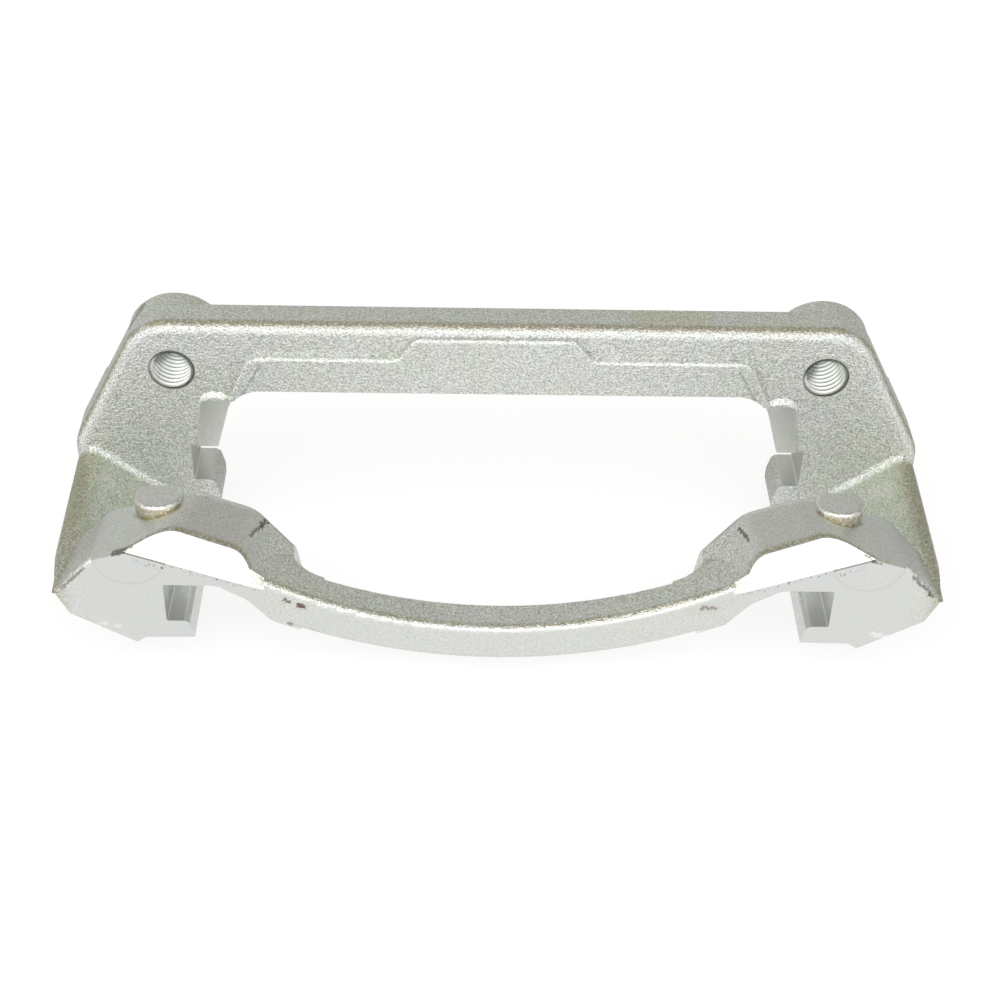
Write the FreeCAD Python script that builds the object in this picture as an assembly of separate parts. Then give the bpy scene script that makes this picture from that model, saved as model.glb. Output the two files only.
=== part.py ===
import FreeCAD, Part
import math
import os

# A brake caliper bracket, cast in one piece, in millimetres.
# The origin is midway between the two mounting threads, on the face that meets the knuckle.
# X runs from thread to thread, -Y points outboard along the axle, and the axle lies up at +Z.
# The two sides are alike, so a side's features are made at +X and mirrored.

# Mounting threads and the corners round them
mount_spacing = 201.0
thread_diameter = 14.0
thread_length = 20.0
corner_radius = 16.0
rear_boss_radius = 15.6

# Inboard plate: crossbar above, two legs beside the window
side_reach = 33.0
crossbar_thickness = 13.2
leg_thickness = 16.7
window_drop = 6.2
window_side_lean = 15.6
rib_height = 2.2
rib_band = 12.2
crown_length = 56.6
crown_height = 7.4

# Slots for the ears of the pads
pad_width = 194.0
ear_length = 15.0
slot_drop = 42.5
slot_height = 13.8
lip_thickness = 5.8
lip_length = 6.4

# Tie bar, bowed round the axle
tie_bar_drop = 14.6
tie_bar_bow = 15.0
tie_bar_height = 12.2
tie_bar_depth = 11.5

# Arms over the rim of the disc, and the outboard blocks
overall_depth = 86.9
block_depth = 24.4
floor_tilt = 37.6
floor_drop = 26.2
draft = 1.1
throat_lean = 10.0
throat_radius = 8.0
lump_diameter = 14.5
lump_height = 31.0
lens_diameter = 21.4
lens_height = 0.8

# Raised landings over the inboard slots
landing_height = 1.5
pocket_height = 0.6

# Edge roundings
edge_radius = 2.0
rim_radius = 4.5

# Guide pin bores
pin_offset = 14.0
pin_drop = 54.5
pin_bore_diameter = 12.0
pin_bore_depth = 52.0
bore_chamfer = 1.0
pin_boss_radius = 11.5
pin_boss_length = 58.0

# Places worked out from the sizes
hole_x = mount_spacing / 2
side_x = hole_x + side_reach
slot_x = pad_width / 2
window_x = slot_x - ear_length
pin_x = hole_x + pin_offset
plate_front = -thread_length
leg_back = plate_front + leg_thickness
crossbar_back = plate_front + crossbar_thickness
front = -overall_depth
block_back = front + block_depth
bar_back = front + tie_bar_depth
slot_floor = -slot_drop
slot_top = slot_floor + slot_height
lip_x = slot_x - lip_length
lip_floor = slot_floor - lip_thickness
bar_end_x = slot_x - 30.6
tie_bar_radius = (bar_end_x ** 2 + tie_bar_bow ** 2) / (2 * tie_bar_bow)
axle_z = slot_floor - tie_bar_drop + tie_bar_radius
through = 200.0


def point(x, z, y=0.0):
    return FreeCAD.Vector(x, y, z)


def outline(corners, place):
    """A closed wire. A corner is two coordinates, which place() puts in space, and a rounding radius if any."""
    spots = [place(corner[0], corner[1]) for corner in corners]
    stops = []
    edges = []
    for i, spot in enumerate(spots):
        radius = corners[i][2] if len(corners[i]) > 2 else 0.0
        if radius == 0.0:
            stops.append((spot, spot))
            continue
        to_last = (spots[i - 1] - spot).normalize()
        to_next = (spots[(i + 1) % len(spots)] - spot).normalize()
        half_angle = to_last.getAngle(to_next) / 2
        reach = radius / math.tan(half_angle)
        start = spot + to_last * reach
        end = spot + to_next * reach
        bisector = (to_last + to_next).normalize()
        middle = spot + bisector * (radius / math.sin(half_angle) - radius)
        edges.append(Part.Arc(start, middle, end).toShape())
        stops.append((start, end))
    for i, stop in enumerate(stops):
        following = stops[(i + 1) % len(stops)][0]
        if stop[1].distanceToPoint(following) > 1e-6:
            edges.append(Part.makeLine(stop[1], following))
    return Part.Wire(Part.__sortEdges__(edges))


def prism(corners, y_from, y_to):
    """A solid along Y whose corners are (x, z)."""
    face = Part.Face(outline(corners, lambda x, z: point(x, z, y_from)))
    return face.extrude(FreeCAD.Vector(0, y_to - y_from, 0))


def cylinder(radius, x, z, y_from, y_to):
    return Part.makeCylinder(radius, y_to - y_from, point(x, z, y_from), FreeCAD.Vector(0, 1, 0))


def cylinder_z(radius, x, y, z_from, z_to):
    return Part.makeCylinder(radius, z_to - z_from, point(x, z_from, y), FreeCAD.Vector(0, 0, 1))


def with_mirror(corners):
    """Corners listed from the top down at +X, closed by the same ones at -X."""
    return corners + [(-corner[0],) + tuple(corner[1:]) for corner in reversed(corners)]


def both_sides(shape):
    return [shape, shape.mirror(FreeCAD.Vector(0, 0, 0), FreeCAD.Vector(1, 0, 0))]


def trim(shape, first, second, third, kept):
    """Cut a shape by the plane through three points, and keep the side of the fourth."""
    normal = (second - first).cross(third - first).normalize()
    if normal.dot(kept - first) > 0:
        normal = normal * -1
    face = Part.makePlane(4 * through, 4 * through, FreeCAD.Vector(0, 0, 0), normal)
    face.translate(first - face.CenterOfMass)
    return shape.cut(face.extrude(normal * through))


def round_edges(shape, radius, chosen):
    edges = [edge for edge in shape.Edges if chosen(edge)]
    return shape.makeFillet(radius, edges)


def at_depth(edge, y):
    box = edge.BoundBox
    return abs(box.YMin - y) < 0.01 and abs(box.YMax - y) < 0.01


def floor_z(x):
    """Height of the sloping floor that the rim of the disc turns over."""
    return -floor_drop - (side_x - x) * math.tan(math.radians(floor_tilt))


def plate():
    """The flat inboard plate, rounded about the threads, down to the lips under the slots."""
    knee_z = floor_z(side_x) - 2.2
    to_thread = math.hypot(side_reach, knee_z)
    lean = math.atan2(side_reach, -knee_z) - math.asin(corner_radius / to_thread)
    top_x = hole_x + corner_radius * math.tan((math.pi / 2 - lean) / 2)
    half = [
        (top_x, corner_radius, corner_radius),
        (side_x, knee_z, 12.0),
        (side_x, floor_z(side_x) - 10.0, 6.0),
        (pin_x + pin_boss_radius, -pin_drop, 0.0),
        (pin_x - pin_boss_radius, -pin_drop - 3.0, 0.0),
        (lip_x - 10.0, lip_floor, 0.0),
    ]
    blank = prism(with_mirror(half), plate_front, leg_back)
    lowest = knee_z - 8.0
    return round_edges(blank, 3.0, lambda edge: at_depth(edge, plate_front) and edge.BoundBox.ZMin > lowest)


def crossbar_relief():
    """Above the legs, the back of the plate lies further forward."""
    half = [
        (through, through),
        (through, -10.0),
        (hole_x - 12.0, -10.0, 6.0),
        (hole_x - 14.6, -window_drop - 14.0, 6.0),
    ]
    return prism(with_mirror(half), crossbar_back, through)


def window():
    """The opening that the inboard pad works through, with the slots for its ears."""
    lean = math.tan(math.radians(window_side_lean))
    half = [
        (window_x, -window_drop, 11.0),
        (window_x + lean * (-window_drop - slot_top), slot_top, 0.8),
        (slot_x, slot_top, 0.5),
        (slot_x, slot_floor, 0.5),
        (lip_x, slot_floor, 2.5),
        (lip_x - 1.4, lip_floor, 0.0),
        (lip_x - 1.4, -through, 0.0),
    ]
    return prism(with_mirror(half), plate_front - 10.0, through)


def front_rib():
    """A raised band along the window's upper edge, taller in the middle."""
    top = rib_band - window_drop
    right = [
        (crown_length / 2 - 5.3, top + crown_height, 3.0),
        (crown_length / 2, top, 3.0),
        (window_x - 5.0, top, 6.0),
        (window_x + 2.0, -window_drop - 4.0),
    ]
    left = [(-corner[0] - 3.0,) + tuple(corner[1:]) for corner in reversed(right[:2])]
    far_left = [(-corner[0],) + tuple(corner[1:]) for corner in reversed(right[2:])]
    crest = plate_front - rib_height
    rib = prism(right + far_left + left, crest, plate_front + 1.0)
    return round_edges(rib, 1.2, lambda edge: at_depth(edge, crest) and edge.BoundBox.ZMax > 0)


def rear_bosses():
    """Round bosses behind the plate, faced off to meet the knuckle."""
    boss = cylinder(rear_boss_radius, hole_x, 0.0, plate_front + 6.0, 0.0)
    return both_sides(round_edges(boss, 1.0, lambda edge: at_depth(edge, 0.0)))


def drawn_in(y):
    """How far an arm's outline has moved in and down its sloping floor, at depth y."""
    inward = (y - leg_back) * math.tan(math.radians(draft))
    return FreeCAD.Vector(inward, y, inward * math.tan(math.radians(floor_tilt)))


def arms():
    """A bridge over the rim of the disc on each side, its outer edge carried on to the front."""
    inner = pin_x - pin_boss_radius
    corners = [
        (side_x, floor_z(side_x), rim_radius),
        (side_x, floor_z(side_x) - 14.0, 6.0),
        (pin_x + pin_boss_radius, -pin_drop),
        (inner, -pin_drop - 3.0),
        (inner, floor_z(inner)),
    ]
    face = Part.Face(outline(corners, point))
    face.translate(drawn_in(leg_back))
    arm = face.extrude(drawn_in(front) - drawn_in(leg_back))
    return both_sides(arm.cut([below_block(), outside_front_corner(), below_front_corner()]))


def below_front_corner():
    """What the arm's lower outer edge leaves away as it draws in towards the front."""
    size = 10.0
    near = point(side_x - size, slot_floor - size, front - size)
    block = Part.makeBox(2 * size, block_depth + size, 2 * size, near)
    side = side_x + drawn_in(front).x
    high = point(side - 3.7, -floor_drop - 6.3, front)
    low = point(side - 7.0, -floor_drop - 13.6, front)
    rear = point(side_x + drawn_in(block_back).x, -floor_drop - 9.2, block_back)
    return trim(block, high, low, rear, point(side_x + size, slot_floor, front))


def outside_front_corner():
    """What the arm's outer side leaves away as it curves in towards the front."""
    side = side_x + drawn_in(front).x
    bend = 14.0
    plan = [
        (side - bend, front),
        (side - 1.4, front, 3.2),
        (side, front + bend, 60.0),
        (side + 0.4, front + 2 * bend),
        (side + bend, front + 2 * bend),
        (side + bend, front - bend),
        (side - bend, front - bend),
    ]
    face = Part.Face(outline(plan, lambda x, y: point(x, -through, y)))
    return face.extrude(FreeCAD.Vector(0, 0, 2 * through))


def over_slot(x, z, y):
    """A point of the outboard block, measured from the outer lower corner of its slot."""
    return point(slot_x + x, slot_floor + z, y)


def below_block():
    """What lies under the block's lower edge, from its lowest point out to the side."""
    low_x, low_z = slot_x + 9.4, slot_floor - 8.5
    far = 60.0
    corners = [
        (slot_x - 37.0, lip_floor),
        (slot_x + 6.6, lip_floor - 0.8),
        (low_x, low_z),
        (low_x + far, low_z + 0.6 * far),
        (low_x + far, -through),
        (slot_x - 37.0, -through),
    ]
    return prism(corners, front - 5.0, block_back)


def pin_bosses():
    """Round bosses along the guide pin bores."""
    end = leg_back + 2.0 - pin_boss_length
    boss = cylinder(pin_boss_radius, pin_x, -pin_drop, end, leg_back + 2.0)
    return both_sides(round_edges(boss, 4.0, lambda edge: at_depth(edge, end)))


def block():
    """A block over each outboard slot, its top falling away to the side and to the tie bar."""
    inner, outer, low = bar_end_x - 8.4, slot_x + 32.5, slot_floor - 18.0
    shape = prism([(inner, 0.0), (outer, 0.0), (outer, low), (inner, low)], front, block_back)
    kept = over_slot(3.0, 12.5, front + 10.0)
    side_slope = [(31.0, 11.5), (19.3, 24.2), (25.5, 14.2)]
    outer_top = [(20.2, 23.2), (3.0, 28.5), (11.7, 24.3)]
    inner_top = [(1.0, 28.7), (-21.0, 20.3), (-21.0, 26.3)]
    bar_slope = [(-22.4, 19.0), (-27.7, 12.1), (-27.3, 22.6)]
    disc = lens().cut(facet())
    for first, second, rear in (side_slope, outer_top, inner_top, bar_slope):
        corners = [over_slot(*first, front), over_slot(*second, front), over_slot(*rear, block_back)]
        shape = trim(shape, *corners, kept)
        disc = trim(disc, *corners, kept)
    for x, radius in ((18.5, 8.0), (-4.0, 10.0), (-23.5, 12.0)):
        shape = round_edges(shape, radius, lambda edge: is_crease(edge, slot_x + x))
    shape = round_edges(shape, 1.25 * edge_radius, lambda edge: is_top_edge(edge, block_back))
    shape = round_edges(shape, edge_radius, lambda edge: is_top_edge(edge, front))
    shape = shape.cut([facet(), below_block(), below_front_corner(), outside_front_corner()])
    return shape.fuse([disc, lump()])


def is_crease(edge, x):
    box = edge.BoundBox
    return box.YLength > block_depth - 1.0 and box.ZMin > slot_top and box.XMin < x < box.XMax


def is_top_edge(edge, y):
    box = edge.BoundBox
    return at_depth(edge, y) and box.ZMax > slot_floor + 6.0 and box.ZMin > slot_floor - 1.0


def facet():
    """A 45 degree cut along the top front edge of the block, stopped short of the tie bar."""
    outer, inner = over_slot(7.5, 25.4, front), over_slot(-27.0, 12.9, front)
    along = (inner - outer).normalize()
    size = 20.0
    back = FreeCAD.Vector(along.z, 0, -along.x) * size + FreeCAD.Vector(0, size, 0)
    start, end = outer - along * size, inner - along * 1.3
    corners = [start, end, end + back, start + back]
    face = Part.Face(Part.makePolygon(corners + corners[:1]))
    return face.extrude(FreeCAD.Vector(0, -size, 0))


def lens():
    """A low round boss on the front face."""
    spot = over_slot(8.7, 25.4, front)
    return cylinder(lens_diameter / 2, spot.x, spot.z, front - lens_height, front + 2.0)


def lump():
    """A round cast lump on top of the block, cut off by the block's back."""
    spot = over_slot(2.3, lump_height, block_back - 3.5)
    sunk = 18.0
    base = cylinder_z(lump_diameter / 2, spot.x, spot.y, spot.z - sunk, spot.z)
    base = round_edges(base, 1.5, lambda edge: edge.BoundBox.ZMin > spot.z - 0.01)
    reach = 20.0
    corner = over_slot(2.3 - reach, lump_height - sunk, block_back - reach)
    return base.common(Part.makeBox(2 * reach, reach, reach, corner))


def bar_underside(x):
    return axle_z - math.sqrt(tie_bar_radius ** 2 - x ** 2)


def tie_bar():
    """A bow round the axle that joins the two blocks, with what fills the corners behind it."""
    reach = bar_end_x + 1.6
    bow = ring(front, bar_back, -reach, reach)
    for depth, radius in ((front, edge_radius), (bar_back, 1.5)):
        bow = round_edges(bow, radius, lambda edge: at_depth(edge, depth) and edge.BoundBox.XLength > reach)
    start = bar_end_x - 14.9
    corner = ring(bar_back - 2.0, block_back, start, reach)
    bar_top = point(start, bar_underside(start) + 13.4, bar_back)
    block_top = point(reach, bar_underside(reach) + 14.0, bar_back + 2.0)
    wall_top = over_slot(-36.2, 7.0, block_back)
    corner = trim(corner, bar_top, block_top, wall_top, point(start, -through, bar_back))
    return bow.fuse(both_sides(corner))


def ring(y_from, y_to, x_from, x_to):
    """The bowed bar's own section, from one depth to another."""
    outer = cylinder(tie_bar_radius, 0.0, axle_z, y_from, y_to)
    inner = cylinder(tie_bar_radius - tie_bar_height, 0.0, axle_z, y_from, y_to)
    low = bar_underside(0.0) - 10.0
    keep = Part.makeBox(x_to - x_from, y_to - y_from, slot_floor + 32.5 - low, point(x_from, low, y_from))
    return outer.cut(inner).common(keep)


def throat():
    """The hollow behind the tie bar, curving into the leaning inner wall of each block."""
    low, high = slot_floor - 18.0, 0.0
    lean = math.tan(math.radians(throat_lean))
    wall_x = bar_end_x - 7.1 + (low - slot_floor) * lean
    plan = [(-30.0, bar_back), (wall_x, bar_back, throat_radius), (wall_x, 0.0), (-30.0, 0.0)]
    face = Part.Face(outline(plan, lambda x, y: point(x, low, y)))
    return both_sides(face.extrude(FreeCAD.Vector(lean, 0, 1) * (high - low)))


def outboard_underside():
    """Below each block: the rise from the tie bar, the slot, and the end of the lip under it."""
    inner = bar_end_x - 8.4
    corners = [
        (inner, bar_underside(inner)),
        (bar_end_x, bar_underside(bar_end_x), 4.0),
        (slot_x - 23.8, slot_top - 5.2, 12.0),
        (slot_x - 15.5, slot_top, 8.0),
        (slot_x, slot_top, 0.5),
        (slot_x, slot_floor, 0.5),
        (lip_x, slot_floor, 2.0),
        (lip_x - 1.3, lip_floor, 0.0),
        (lip_x - 1.3, -through, 0.0),
        (inner, -through, 0.0),
    ]
    return both_sides(prism(corners, front - 1.0, block_back + 1.0))


def outboard():
    """The two blocks and the tie bar, hollowed behind the bar."""
    return tie_bar().fuse(both_sides(block())).cut(throat() + outboard_underside())


def landings():
    """A raised pad over each inboard slot, with sloping sides, milled out flat for the pad's ear."""
    low = slot_top - 1.0
    corners = [
        (slot_x - 14.1, slot_top + 20.7, 4.4),
        (slot_x - 4.2, slot_top + 20.7, 4.8),
        (slot_x - 1.4, low),
        (slot_x - 14.1, low),
    ]
    face_y = plate_front - landing_height
    pad = prism(corners, face_y, plate_front + 1.0)
    slanted = [edge for edge in pad.Edges if at_depth(edge, face_y) and edge.BoundBox.ZMax > low + 0.01]
    pad = pad.makeChamfer(0.95 * landing_height, slanted)
    pocket = [
        (slot_x - 20.0, slot_top + 18.9),
        (slot_x - 4.5, slot_top + 18.3, 3.0),
        (slot_x - 2.8, low),
        (slot_x - 20.0, low),
    ]
    return both_sides(pad.cut(prism(pocket, face_y - 1.0, plate_front - pocket_height)))


def mounting_threads():
    """Holes as wide as the thread's crests, right through plate and boss."""
    return both_sides(cylinder(thread_diameter / 2, hole_x, 0.0, plate_front - 5.0, 5.0))


def guide_pin_bores():
    """Blind bores from the inboard side, drilled with a pointed end."""
    radius = pin_bore_diameter / 2
    mouth = leg_back + 2.0
    end = mouth - pin_bore_depth
    drill_point = radius / math.tan(math.radians(59.0))
    axis = FreeCAD.Vector(0, 1, 0)
    bore = cylinder(radius, pin_x, -pin_drop, end, mouth - bore_chamfer)
    flare = point(pin_x, -pin_drop, mouth - bore_chamfer)
    chamfer = Part.makeCone(radius, radius + bore_chamfer, bore_chamfer, flare, axis)
    tip = Part.makeCone(0.0, radius, drill_point, point(pin_x, -pin_drop, end - drill_point), axis)
    return both_sides(bore.fuse([chamfer, tip]))


def inboard():
    """The plate with its rib and landings, opened by the window and thinned behind the crossbar."""
    body = plate().fuse([front_rib()] + landings()).cut([window(), crossbar_relief()])
    body = round_edges(body, 1.5, lambda edge: at_depth(edge, crossbar_back) and edge.BoundBox.ZMin > 0)
    body = round_edges(body, 1.0, is_window_edge_behind)
    outer = side_x - 5.0
    return round_edges(body, edge_radius, lambda edge: at_depth(edge, leg_back) and max_reach(edge) > outer)


def max_reach(edge):
    return max(edge.BoundBox.XMax, -edge.BoundBox.XMin)


def is_window_edge_behind(edge):
    return at_depth(edge, crossbar_back) and abs(edge.BoundBox.ZMax + window_drop) < 0.01


def bracket():
    body = inboard().fuse([outboard()] + rear_bosses() + arms() + pin_bosses())
    body = body.cut(mounting_threads() + guide_pin_bores())
    return body.removeSplitter().Solids[0]


os.makedirs("parts", exist_ok=True)
caliper_bracket = bracket()
caliper_bracket.exportStep("parts/caliper_bracket.step")
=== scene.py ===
import math

import bmesh
import bpy
from mathutils import Matrix, Vector


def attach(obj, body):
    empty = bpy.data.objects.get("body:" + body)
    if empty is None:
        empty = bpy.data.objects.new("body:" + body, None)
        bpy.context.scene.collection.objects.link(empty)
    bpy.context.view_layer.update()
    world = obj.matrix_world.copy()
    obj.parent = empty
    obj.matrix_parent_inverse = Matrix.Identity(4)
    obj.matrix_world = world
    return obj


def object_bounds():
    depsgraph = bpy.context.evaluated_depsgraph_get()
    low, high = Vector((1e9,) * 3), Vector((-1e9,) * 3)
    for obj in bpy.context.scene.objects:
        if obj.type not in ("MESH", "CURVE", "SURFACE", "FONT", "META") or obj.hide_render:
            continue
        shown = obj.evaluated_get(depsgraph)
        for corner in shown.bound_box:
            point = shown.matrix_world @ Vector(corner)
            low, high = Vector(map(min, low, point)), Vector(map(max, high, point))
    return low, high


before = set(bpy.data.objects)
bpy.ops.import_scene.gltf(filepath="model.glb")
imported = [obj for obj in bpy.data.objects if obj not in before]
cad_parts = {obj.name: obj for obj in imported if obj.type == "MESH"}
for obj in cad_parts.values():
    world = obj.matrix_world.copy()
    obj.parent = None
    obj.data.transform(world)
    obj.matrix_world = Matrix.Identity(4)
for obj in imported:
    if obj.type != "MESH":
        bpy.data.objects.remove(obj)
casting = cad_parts["caliper_bracket"]
cad_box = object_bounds()


# The casting is one piece of ductile iron, zinc plated all over after machining.
# Its skin is pebbly from the sand mould, finer on the outboard blocks, and smooth where it was milled.
# The plating yellows along its rounded edges, where the olive tint also serves as a painted dark reflection
# behind each edge's highlight, and handling has left gouges, rust and paint on it.
pebble = 0.00062
pebble_depth = 0.00040
zinc = (0.665, 0.690, 0.635)
cool_zinc = (0.675, 0.692, 0.678)
green_zinc = (0.548, 0.596, 0.495)
warm_zinc = (0.700, 0.675, 0.650)
painted_glint = (0.95, 0.96, 0.92)
olive = (0.42, 0.38, 0.25)
rust = (0.17, 0.10, 0.075)
dark_scale_and_painted_shade = (0.11, 0.11, 0.09)
yellow_paint = (0.55, 0.50, 0.16)
hole_x, hole_radius = 0.1005, 0.0070
bevel_point = Vector((0.1045, -0.0869, -0.0171))
bevel_facing = Vector((-0.241, -0.707, 0.665))


def wire(tree, socket, value):
    """Join a value to a socket, whether it is a number, a colour or another node's output."""
    if isinstance(value, bpy.types.NodeSocket):
        tree.links.new(value, socket)
    else:
        socket.default_value = value


def sum_of(tree, operation, first, second=0.0, clamp=False):
    node = tree.nodes.new("ShaderNodeMath")
    node.operation = operation
    node.use_clamp = clamp
    wire(tree, node.inputs[0], first)
    wire(tree, node.inputs[1], second)
    return node.outputs[0]


def vector_sum(tree, operation, first, second, output="Vector"):
    node = tree.nodes.new("ShaderNodeVectorMath")
    node.operation = operation
    wire(tree, node.inputs[0], first)
    wire(tree, node.inputs["Scale" if operation == "SCALE" else 1], second)
    return node.outputs[output]


def ramp(tree, value, low, high):
    """Nothing below low, all of it above high, and smooth between. Low may be above high."""
    node = tree.nodes.new("ShaderNodeMapRange")
    node.interpolation_type = "SMOOTHSTEP"
    wire(tree, node.inputs["Value"], value)
    turned = low > high
    node.inputs["From Min"].default_value = min(low, high)
    node.inputs["From Max"].default_value = max(low, high)
    node.inputs["To Min"].default_value = 1.0 if turned else 0.0
    node.inputs["To Max"].default_value = 0.0 if turned else 1.0
    return node.outputs["Result"]


def all_of(tree, *masks):
    result = masks[0]
    for mask in masks[1:]:
        result = sum_of(tree, "MULTIPLY", result, mask)
    return result


def any_of(tree, *masks):
    result = masks[0]
    for mask in masks[1:]:
        result = sum_of(tree, "MAXIMUM", result, mask)
    return result


def between(tree, value, low, high, soft):
    rise = ramp(tree, value, low - soft, low + soft)
    fall = ramp(tree, value, high + soft, high - soft)
    return sum_of(tree, "MULTIPLY", rise, fall)


def noise(tree, where, size, detail=2.0, roughness=0.5):
    node = tree.nodes.new("ShaderNodeTexNoise")
    node.inputs["Scale"].default_value = 1.0 / size
    node.inputs["Detail"].default_value = detail
    node.inputs["Roughness"].default_value = roughness
    tree.links.new(where, node.inputs["Vector"])
    return node.outputs["Fac"]


def tint(tree, colour, other, amount):
    node = tree.nodes.new("ShaderNodeMix")
    node.data_type = "RGBA"
    wire(tree, node.inputs["Factor"], amount)
    wire(tree, node.inputs["A"], colour if isinstance(colour, bpy.types.NodeSocket) else (*colour, 1.0))
    wire(tree, node.inputs["B"], other if isinstance(other, bpy.types.NodeSocket) else (*other, 1.0))
    return node.outputs["Result"]


def flat(tree, across, level):
    """The place of a point seen square on, so that a mark lies on the skin whatever its depth."""
    node = tree.nodes.new("ShaderNodeCombineXYZ")
    tree.links.new(across, node.inputs["X"])
    tree.links.new(level, node.inputs["Y"])
    return node.outputs["Vector"]


def beside(tree, across, along, level):
    node = tree.nodes.new("ShaderNodeCombineXYZ")
    tree.links.new(across, node.inputs["X"])
    tree.links.new(along, node.inputs["Y"])
    tree.links.new(level, node.inputs["Z"])
    return node.outputs["Vector"]


def streak(tree, place, ragged, start, end, width):
    """A ragged mark along the line from start to end."""
    along = Vector((end[0] - start[0], end[1] - start[1], 0.0))
    from_start = vector_sum(tree, "SUBTRACT", place, (*start, 0.0))
    share = vector_sum(tree, "DOT_PRODUCT", from_start, along / along.length_squared, "Value")
    share = sum_of(tree, "ADD", share, 0.0, True)
    nearest = vector_sum(tree, "SCALE", tuple(along), share)
    away = vector_sum(tree, "DISTANCE", from_start, nearest, "Value")
    away = sum_of(tree, "ADD", away, sum_of(tree, "MULTIPLY", ragged, width))
    return ramp(tree, away, width, 0.5 * width)


def painted(tree, colour, place, ragged, within, marks):
    for shade, strength, start, end, width in marks:
        patch = all_of(tree, streak(tree, place, ragged, start, end, width), within)
        colour = tint(tree, colour, shade, sum_of(tree, "MULTIPLY", patch, strength))
    return colour


def plated_casting():
    material = bpy.data.materials.new("zinc_plated_casting")
    material.use_nodes = True
    tree = material.node_tree
    shader = tree.nodes["Principled BSDF"]
    shader.inputs["Metallic"].default_value = 1.0
    where = tree.nodes.new("ShaderNodeTexCoord").outputs["Object"]
    split = tree.nodes.new("ShaderNodeSeparateXYZ")
    tree.links.new(where, split.inputs["Vector"])
    x, y, z = split.outputs["X"], split.outputs["Y"], split.outputs["Z"]
    off_middle = sum_of(tree, "ABSOLUTE", x)

    outboard = ramp(tree, y, -0.0615, -0.0635)
    front = ramp(tree, y, -0.0860, -0.0867)
    block = all_of(tree, outboard, ramp(tree, off_middle, 0.066, 0.074), ramp(tree, off_middle, 0.122, 0.116))
    slot_level = between(tree, z, -0.0427, -0.0285, 0.0002)
    slot_reach = between(tree, off_middle, 0.080, 0.0974, 0.0002)
    landing = all_of(
        tree,
        between(tree, off_middle, 0.078, 0.0945, 0.0003),
        between(tree, z, -0.0290, -0.0098, 0.0004),
        between(tree, y, -0.0209, -0.0203, 0.0001),
    )
    faced = ramp(tree, y, -0.0006, -0.0002)
    from_hole = vector_sum(tree, "DISTANCE", flat(tree, off_middle, z), (hole_x, 0.0, 0.0), "Value")
    hole = ramp(tree, from_hole, 1.06 * hole_radius, 1.03 * hole_radius)
    milled = any_of(tree, all_of(tree, slot_level, slot_reach), landing, faced, hole)

    pebbles = noise(tree, where, pebble, 2.0, 0.6)
    coarse = noise(tree, where, 4.0 * pebble, 2.0, 0.5)
    height = sum_of(tree, "ADD", pebbles, sum_of(tree, "MULTIPLY", coarse, 0.8))
    grain = sum_of(tree, "SUBTRACT", 1.0, sum_of(tree, "MULTIPLY", block, 0.55))
    grain = sum_of(tree, "SUBTRACT", grain, sum_of(tree, "MULTIPLY", front, 0.65), True)
    grain = sum_of(tree, "SUBTRACT", grain, sum_of(tree, "MULTIPLY", milled, 0.85), True)
    grain = sum_of(tree, "MAXIMUM", grain, 0.10)
    skin = tree.nodes.new("ShaderNodeBump")
    skin.inputs["Distance"].default_value = pebble_depth
    wire(tree, skin.inputs["Strength"], grain)
    wire(tree, skin.inputs["Height"], height)
    tree.links.new(skin.outputs["Normal"], shader.inputs["Normal"])

    blotches = noise(tree, where, 0.022, 3.0, 0.6)
    colour = tint(tree, zinc, cool_zinc, any_of(tree, ramp(tree, blotches, 0.35, 0.65), block))
    behind_plate = all_of(tree, ramp(tree, y, -0.0203, -0.0215), ramp(tree, y, -0.0660, -0.0600))
    channel = all_of(tree, behind_plate, ramp(tree, off_middle, 0.100, 0.104))
    colour = tint(tree, colour, green_zinc, all_of(tree, channel, 0.85))
    sheen = noise(tree, where, 0.007, 3.0, 0.6)
    colour = tint(tree, colour, warm_zinc, sum_of(tree, "MULTIPLY", ramp(tree, sheen, 0.42, 0.62), 0.5))

    speckle = noise(tree, where, 0.0010, 3.0, 0.7)
    rim = all_of(tree, ramp(tree, off_middle, 0.1225, 0.1290), ramp(tree, y, -0.0208, -0.0225))
    bar_edge = all_of(tree, between(tree, y, -0.0858, -0.0842, 0.0006), ramp(tree, off_middle, 0.074, 0.066))
    bar_edge = all_of(tree, bar_edge, ramp(tree, z, -0.050, -0.044), 0.75)
    plate_edge = between(tree, y, -0.0188, -0.0160, 0.0008)
    top_edge = all_of(tree, plate_edge, ramp(tree, z, 0.0135, 0.0150), 0.9)
    side_edge = all_of(tree, plate_edge, ramp(tree, off_middle, 0.108, 0.111))
    bevel_spot = vector_sum(tree, "SUBTRACT", beside(tree, off_middle, y, z), bevel_point)
    from_bevel = vector_sum(tree, "DOT_PRODUCT", bevel_spot, bevel_facing, "Value")
    at_bevel = all_of(tree, ramp(tree, from_bevel, -0.0016, -0.0006), ramp(tree, from_bevel, -0.0001, -0.0003))
    above_bevel = all_of(tree, block, at_bevel, ramp(tree, y, -0.0866, -0.0860))
    below_bevel = all_of(tree, block, at_bevel, ramp(tree, y, -0.0860, -0.0866))
    below_bevel = all_of(tree, below_bevel, ramp(tree, off_middle, 0.106, 0.100))
    # Olive along the rounded edges is partly yellowed plating and partly a painted dark reflection just behind
    # each edge's highlight.
    yellowed_and_painted_reflection = any_of(tree, all_of(tree, rim, 0.85), bar_edge, top_edge, side_edge, above_bevel)
    colour = tint(tree, colour, olive, all_of(tree, yellowed_and_painted_reflection, ramp(tree, speckle, 0.30, 0.62)))
    colour = tint(tree, colour, dark_scale_and_painted_shade, all_of(tree, below_bevel, ramp(tree, speckle, 0.55, 0.68)))

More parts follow.
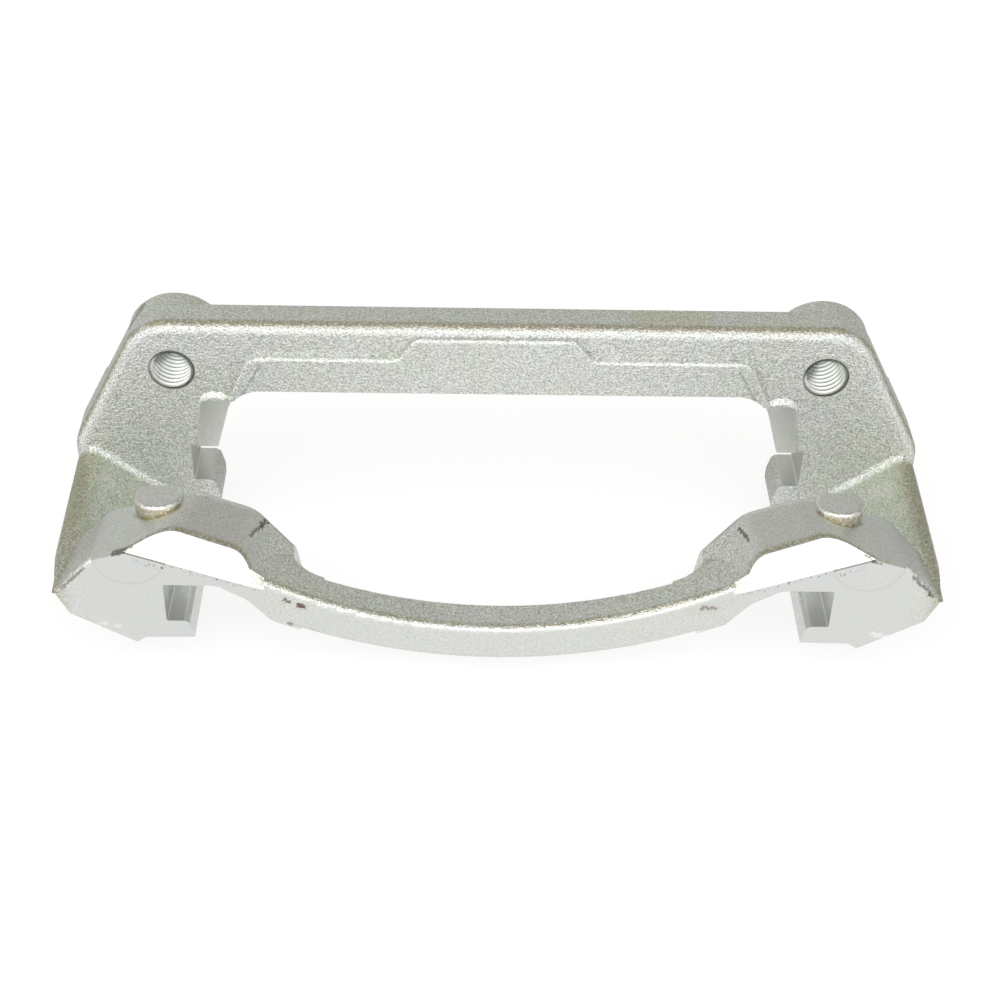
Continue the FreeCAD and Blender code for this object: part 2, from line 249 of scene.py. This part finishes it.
    ragged = noise(tree, where, 0.0009, 3.0, 0.7)
    ragged = sum_of(tree, "MULTIPLY", sum_of(tree, "SUBTRACT", ragged, 0.5), 4.5)
    from_above, lump_place = flat(tree, x, y), (0.0993, -0.0660, 0.0)
    from_front = flat(tree, x, z)
    round_lump = vector_sum(tree, "DISTANCE", flat(tree, off_middle, y), lump_place, "Value")
    lump_foot = between(tree, round_lump, 0.0070, 0.0082, 0.0005)
    under_lump = all_of(tree, lump_foot, ramp(tree, y, -0.0680, -0.0705), ramp(tree, z, -0.0260, -0.0240))
    colour = tint(tree, colour, olive, all_of(tree, under_lump, ramp(tree, speckle, 0.35, 0.5)))
    # A faint painted shade line round the edge of the raised lens on each block front.
    round_lens = vector_sum(tree, "DISTANCE", flat(tree, off_middle, z), (0.1057, -0.0171, 0.0), "Value")
    lens_edge_painted_shade = all_of(tree, between(tree, round_lens, 0.0101, 0.0110, 0.0005), ramp(tree, y, -0.0860, -0.0866))
    colour = tint(tree, colour, dark_scale_and_painted_shade, all_of(tree, lens_edge_painted_shade, 0.10))
    above = [
        (dark_scale_and_painted_shade, 0.85, (-0.0688, -0.0650), (-0.0700, -0.0680), 0.0007),
        (dark_scale_and_painted_shade, 0.65, (-0.0700, -0.0680), (-0.0725, -0.0735), 0.0004),
        (dark_scale_and_painted_shade, 0.80, (0.0706, -0.0680), (0.0728, -0.0733), 0.0005),
    ]
    colour = painted(tree, colour, from_above, ragged, outboard, above)
    on_crossbar = [
        (yellow_paint, 0.25, (0.0425, -0.0123), (0.0609, -0.0119), 0.0045),
        (dark_scale_and_painted_shade, 0.55, (-0.1135, -0.0100), (-0.1105, -0.0030), 0.0013),
    ]
    colour = painted(tree, colour, from_above, ragged, ramp(tree, z, 0.0060, 0.0090), on_crossbar)
    on_front = [
        (rust, 0.85, (-0.0621, -0.0340), (-0.0612, -0.0346), 0.0008),
        (rust, 0.95, (-0.0583, -0.0358), (-0.0572, -0.0366), 0.0010),
        (rust, 0.60, (-0.0616, -0.0432), (-0.0608, -0.0434), 0.0006),
        (rust, 0.60, (0.0594, -0.0355), (0.0626, -0.0354), 0.0012),
        (dark_scale_and_painted_shade, 0.80, (-0.1100, -0.0170), (-0.1046, -0.0156), 0.0004),
        (dark_scale_and_painted_shade, 0.80, (0.1041, -0.0158), (0.1088, -0.0173), 0.0004),
        (dark_scale_and_painted_shade, 0.70, (-0.1262, -0.0306), (-0.1190, -0.0230), 0.0005),
        (dark_scale_and_painted_shade, 0.70, (0.1190, -0.0230), (0.1262, -0.0306), 0.0006),
        (dark_scale_and_painted_shade, 0.90, (0.1244, -0.0295), (0.1248, -0.0295), 0.0006),
        (yellow_paint, 0.90, (0.1099, -0.0152), (0.1106, -0.0168), 0.0006),
        # These white marks are painted glints on the lower edge of the block fronts.
        (painted_glint, 0.50, (-0.1162, -0.0437), (-0.1150, -0.0439), 0.0010),
        (painted_glint, 0.50, (-0.1122, -0.0448), (-0.1112, -0.0449), 0.0009),
        (painted_glint, 0.50, (0.1105, -0.0451), (0.1149, -0.0463), 0.0012),
    ]
    colour = painted(tree, colour, from_front, ragged, ramp(tree, y, -0.0846, -0.0858), on_front)
    on_plate = [
        (yellow_paint, 0.85, (-0.0917, -0.0303), (-0.0876, -0.0338), 0.0010),
        (yellow_paint, 0.85, (0.0856, -0.0362), (0.0862, -0.0362), 0.0009),
        # The dark lines below are painted shade along the hidden side steps of the raised rib, running down to
        # the window corners.
        (dark_scale_and_painted_shade, 0.30, (0.0732, 0.0033), (0.0757, -0.0010), 0.0005),
        (dark_scale_and_painted_shade, 0.30, (0.0757, -0.0010), (0.0809, -0.0106), 0.0005),
        (dark_scale_and_painted_shade, 0.30, (-0.0732, 0.0033), (-0.0757, -0.0010), 0.0005),
        (dark_scale_and_painted_shade, 0.30, (-0.0757, -0.0010), (-0.0809, -0.0106), 0.0005),
    ]
    colour = painted(tree, colour, from_front, ragged, ramp(tree, y, -0.0300, -0.0240), on_plate)

    shading = sum_of(tree, "SUBTRACT", pebbles, 0.5)
    shading = sum_of(tree, "MULTIPLY", shading, sum_of(tree, "MULTIPLY", grain, 1.8))
    colour = vector_sum(tree, "SCALE", colour, sum_of(tree, "ADD", shading, 1.0))
    wire(tree, shader.inputs["Base Color"], colour)

    wear = noise(tree, where, 0.004, 3.0, 0.6)
    plate = ramp(tree, y, -0.0300, -0.0240)
    roughness = sum_of(tree, "ADD", 0.29, sum_of(tree, "MULTIPLY", wear, 0.08))
    roughness = sum_of(tree, "ADD", roughness, all_of(tree, plate, grain, 0.14))
    wire(tree, shader.inputs["Roughness"], roughness)
    return material


plated = plated_casting()
casting.data.materials.clear()
casting.data.materials.append(plated)


def added(mesh, name, finish):
    """Turn a bmesh into a piece of the casting."""
    bmesh.ops.recalc_face_normals(mesh, faces=mesh.faces[:])
    data = bpy.data.meshes.new(name)
    mesh.to_mesh(data)
    mesh.free()
    piece = bpy.data.objects.new(name, data)
    bpy.context.scene.collection.objects.link(piece)
    data.materials.append(finish)
    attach(piece, "root")


# The rounded inner corner where the plate's front meets the sloping floor over the rim of the disc.
# It is part of the casting: a small concave fillet that runs up the slope and turns over the arm's outer edge.
floor_slope = math.radians(37.6)
crease_radius = 0.0025
sunk = 0.0003
crease_start = Vector((0.1040, -0.0200, -0.04891))
crease_length = 0.0275
crease_turn = math.radians(42.0)
rim_centre = (0.12868, -0.0200, -0.03560)
arc_steps = 8


def crease(name, side):
    out = Vector((math.cos(floor_slope), 0.0, math.sin(floor_slope)))
    up = Vector((-math.sin(floor_slope), 0.0, math.cos(floor_slope)))
    forward = Vector((0.0, -1.0, 0.0))
    turns = [math.pi / 2 * step / arc_steps for step in range(arc_steps + 1)]
    arc = [(crease_radius * (1.0 - math.sin(turn)), crease_radius * (1.0 - math.cos(turn))) for turn in turns]
    section = [(-sunk, -sunk), (crease_radius, -sunk)] + arc + [(-sunk, crease_radius)]
    mesh = bmesh.new()
    ring = [mesh.verts.new(crease_start + high * up + ahead * forward) for high, ahead in section]
    end = mesh.faces.new(ring)
    run = bmesh.ops.extrude_face_region(mesh, geom=[end], use_keep_orig=True)
    moved = [item for item in run["geom"] if isinstance(item, bmesh.types.BMVert)]
    bmesh.ops.translate(mesh, verts=moved, vec=out * crease_length)
    end = [item for item in run["geom"] if isinstance(item, bmesh.types.BMFace)]
    bmesh.ops.spin(
        mesh,
        geom=end,
        cent=rim_centre,
        axis=(0.0, 1.0, 0.0),
        angle=crease_turn,
        steps=arc_steps,
        use_merge=False,
        use_duplicate=False,
    )
    bmesh.ops.scale(mesh, vec=(side, 1.0, 1.0), verts=mesh.verts[:])
    added(mesh, name, plated)


crease("plate_crease_right", 1.0)
crease("plate_crease_left", -1.0)


# The shoulder where the bowed tie bar runs on into each outboard block, cast with them.
# It carries the bar's rounded front edge up to the slope of the block, and the block's bevel cuts across it.
axle = Vector((0.0, 0.0, 0.097365))
shoulder_top = 0.142285
shoulder_front, shoulder_back = -0.08688, -0.0752
shoulder_depth = 0.0080
shoulder_edge = 0.0020
shoulder_start, shoulder_end = 0.0660, 0.0755
shoulder_bevel_point = (0.0712, -0.0869, -0.02917)
shoulder_bevel_facing = (-0.199, -0.707, 0.678)


def shoulder(name, side):
    begin, end = math.asin(shoulder_start / shoulder_top), math.asin(shoulder_end / shoulder_top)
    turns = [math.pi / 2 * step / arc_steps for step in range(arc_steps + 1)]
    deep = shoulder_top + shoulder_depth
    section = [(shoulder_back, deep), (shoulder_back, shoulder_top)]
    for turn in turns:
        ahead = shoulder_front + shoulder_edge * (1.0 - math.sin(turn))
        section.append((ahead, shoulder_top + shoulder_edge * (1.0 - math.cos(turn))))
    section.append((shoulder_front, deep))
    mesh = bmesh.new()
    away = Vector((math.sin(begin), 0.0, -math.cos(begin)))
    ring = [mesh.verts.new(axle + radius * away + Vector((0.0, ahead, 0.0))) for ahead, radius in section]
    bmesh.ops.spin(
        mesh,
        geom=[mesh.faces.new(ring)],
        cent=axle,
        axis=(0.0, -1.0, 0.0),
        angle=end - begin,
        steps=arc_steps,
        use_merge=False,
        use_duplicate=False,
    )
    cut = bmesh.ops.bisect_plane(
        mesh,
        geom=mesh.verts[:] + mesh.edges[:] + mesh.faces[:],
        plane_co=shoulder_bevel_point,
        plane_no=shoulder_bevel_facing,
        clear_outer=True,
    )
    rim = [item for item in cut["geom_cut"] if isinstance(item, bmesh.types.BMEdge)]
    bmesh.ops.holes_fill(mesh, edges=rim, sides=0)
    bmesh.ops.scale(mesh, vec=(side, 1.0, 1.0), verts=mesh.verts[:])
    added(mesh, name, plated)


shoulder("bar_shoulder_right", 1.0)
shoulder("bar_shoulder_left", -1.0)


# The mounting threads are cut right through the plate and its rear bosses, for a metric bolt from behind.
# The casting's holes are as wide as the thread's roots, so the ridges stand in from their walls.
thread_pitch = 0.0020
root_radius = 0.00702
crest_radius = 0.00592
thread_front, thread_back = -0.0200, 0.0
ridge_foot, ridge_crest = 0.44, 0.06
steps_a_turn = 48


def thread(name, x):
    mesh = bmesh.new()
    start = thread_front - thread_pitch
    corners = [(root_radius, -ridge_foot), (crest_radius, -ridge_crest)]
    corners = corners + [(crest_radius, ridge_crest), (root_radius, ridge_foot)]
    ring = [mesh.verts.new((x + radius, start + share * thread_pitch, 0.0)) for radius, share in corners]
    ridge = mesh.faces.new(ring)
    turns = round((thread_back - thread_front) / thread_pitch) + 2
    bmesh.ops.spin(
        mesh,
        geom=[ridge],
        cent=(x, start, 0.0),
        axis=(0.0, -1.0, 0.0),
        dvec=(0.0, thread_pitch / steps_a_turn, 0.0),
        angle=turns * math.tau,
        steps=turns * steps_a_turn,
        use_merge=False,
        use_duplicate=False,
    )
    for level, outward in ((thread_front, -1.0), (thread_back, 1.0)):
        cut = bmesh.ops.bisect_plane(
            mesh,
            geom=mesh.verts[:] + mesh.edges[:] + mesh.faces[:],
            plane_co=(x, level, 0.0),
            plane_no=(0.0, outward, 0.0),
            clear_outer=True,
        )
        rim = [item for item in cut["geom_cut"] if isinstance(item, bmesh.types.BMEdge)]
        bmesh.ops.holes_fill(mesh, edges=rim, sides=0)
    added(mesh, name, thread_finish)


def cut_zinc():
    material = bpy.data.materials.new("zinc_plated_thread")
    material.use_nodes = True
    tree = material.node_tree
    shader = tree.nodes["Principled BSDF"]
    shader.inputs["Metallic"].default_value = 1.0
    where = tree.nodes.new("ShaderNodeTexCoord").outputs["Object"]
    streaks = noise(tree, where, 0.003, 2.0, 0.5)
    split = tree.nodes.new("ShaderNodeSeparateXYZ")
    tree.links.new(where, split.inputs["Vector"])
    off_middle = sum_of(tree, "ABSOLUTE", split.outputs["X"])
    from_front = flat(tree, off_middle, split.outputs["Z"])
    from_axis = vector_sum(tree, "DISTANCE", from_front, (hole_x, 0.0, 0.0), "Value")
    # Painted shade darkens the thread roots between the ridges.
    root_painted_shade = ramp(tree, from_axis, 0.0062, 0.0068)
    colour = tint(tree, zinc, cool_zinc, streaks)
    colour = tint(tree, colour, dark_scale_and_painted_shade, sum_of(tree, "MULTIPLY", root_painted_shade, 0.75))
    wire(tree, shader.inputs["Base Color"], colour)
    wire(tree, shader.inputs["Roughness"], sum_of(tree, "ADD", 0.16, sum_of(tree, "MULTIPLY", streaks, 0.10)))
    return material


thread_finish = cut_zinc()
thread("mounting_thread_right", hole_x)
thread("mounting_thread_left", -hole_x)


# The bracket stands on a plain white table, by the bottoms of its guide pin bosses.
table_size = 8.0
table_z = cad_box[0][2]
bpy.ops.mesh.primitive_plane_add(size=table_size, location=(0.0, 0.0, table_z))
table = bpy.context.object
table.name = "table"
white = bpy.data.materials.new("white_table")
white.use_nodes = True
tree = white.node_tree
paper = tree.nodes["Principled BSDF"]
paper.inputs["Base Color"].default_value = (0.22, 0.22, 0.22, 1.0)
paper.inputs["Roughness"].default_value = 0.9
paper.inputs["Specular IOR Level"].default_value = 0.1
ray = tree.nodes.new("ShaderNodeLightPath")
split = tree.nodes.new("ShaderNodeSeparateXYZ")
tree.links.new(tree.nodes.new("ShaderNodeTexCoord").outputs["Object"], split.inputs["Vector"])
# Reflections see the table brighter in front of the bracket than behind it, a painted pool of light.
painted_pool_reflected = sum_of(tree, "MULTIPLY", ray.outputs["Is Glossy Ray"], ramp(tree, split.outputs["Y"], 0.03, -0.06))
painted_pool_reflected = sum_of(tree, "ADD", painted_pool_reflected, sum_of(tree, "MULTIPLY", ray.outputs["Is Glossy Ray"], 0.35), True)
seen = any_of(tree, ray.outputs["Is Camera Ray"], ray.outputs["Is Transmission Ray"], painted_pool_reflected)
paper.inputs["Emission Color"].default_value = (1.0, 1.0, 1.0, 1.0)
wire(tree, paper.inputs["Emission Strength"], sum_of(tree, "MULTIPLY", seen, 0.80))
table.data.materials.append(white)


# Plain soft studio light: a grey room, lighter on the left and dimmer overhead, and a wide lamp above in front.
world = bpy.data.worlds.new("studio")
bpy.context.scene.world = world
world.use_nodes = True
tree = world.node_tree
air = tree.nodes["Background"]
direction = tree.nodes.new("ShaderNodeTexCoord").outputs["Generated"]
split = tree.nodes.new("ShaderNodeSeparateXYZ")
tree.links.new(direction, split.inputs["Vector"])
rise = sum_of(tree, "ARCTAN2", split.outputs["Z"], split.outputs["Y"])
rise = sum_of(tree, "DIVIDE", rise, math.pi, True)
room = tree.nodes.new("ShaderNodeValToRGB")
tree.links.new(rise, room.inputs["Fac"])
shades = (
    (0.00, (0.62, 0.66, 0.57)),
    (0.15, (0.66, 0.68, 0.66)),
    (0.21, (0.60, 0.60, 0.56)),
    (0.26, (0.54, 0.54, 0.49)),
    (0.36, (0.62, 0.63, 0.61)),
    (0.42, (0.40, 0.37, 0.30)),
    (0.46, (0.20, 0.18, 0.13)),
    (0.52, (0.28, 0.25, 0.20)),
    (0.57, (1.40, 1.40, 1.40)),
    (0.90, (1.40, 1.40, 1.40)),
    (1.00, (0.90, 0.90, 0.90)),
)
stops = room.color_ramp.elements
while len(stops) < len(shades):
    stops.new(0.5)
for stop, (place, shade) in zip(stops, shades):
    stop.position = place
    stop.color = (*shade, 1.0)
level = sum_of(tree, "SUBTRACT", 1.0, sum_of(tree, "MULTIPLY", split.outputs["X"], 0.18))
seen = tree.nodes.new("ShaderNodeLightPath").outputs["Is Camera Ray"]
tree.links.new(tint(tree, room.outputs["Color"], (1.0, 1.0, 1.0), seen), air.inputs["Color"])
wire(tree, air.inputs["Strength"], sum_of(tree, "MAXIMUM", level, seen))

lamp_data = bpy.data.lights.new("overhead_lamp", "AREA")
lamp_data.shape = "RECTANGLE"
lamp_data.size = 1.6
lamp_data.size_y = 0.4
lamp_data.energy = 3.5
lamp = bpy.data.objects.new("overhead_lamp", lamp_data)
bpy.context.scene.collection.objects.link(lamp)
lamp.location = (0.0, -0.62, 0.72)
lamp.rotation_euler = (Vector((0.0, -0.04, -0.03)) - lamp.location).to_track_quat("-Z", "Y").to_euler()


# The camera stands in front and above, where the photograph was taken from.
pitch, turn, roll = math.radians(38.743), math.radians(1.3887), math.radians(1.4986)
ahead = Vector((math.sin(turn) * math.cos(pitch), math.cos(turn) * math.cos(pitch), -math.sin(pitch)))
level = Vector((math.cos(turn), -math.sin(turn), 0.0))
above = level.cross(ahead)
right = math.cos(roll) * level + math.sin(roll) * above
up = -math.sin(roll) * level + math.cos(roll) * above
camera_data = bpy.data.cameras.new("camera")
camera_data.sensor_width = 36.0
camera_data.lens = 66.588
camera = bpy.data.objects.new("camera", camera_data)
turned = Matrix((right, up, -ahead)).transposed().to_4x4()
camera.matrix_world = Matrix.Translation((-0.010285, -0.486950, 0.325124)) @ turned
bpy.context.scene.collection.objects.link(camera)
bpy.context.scene.camera = camera
bpy.context.scene.view_settings.view_transform = "Standard"
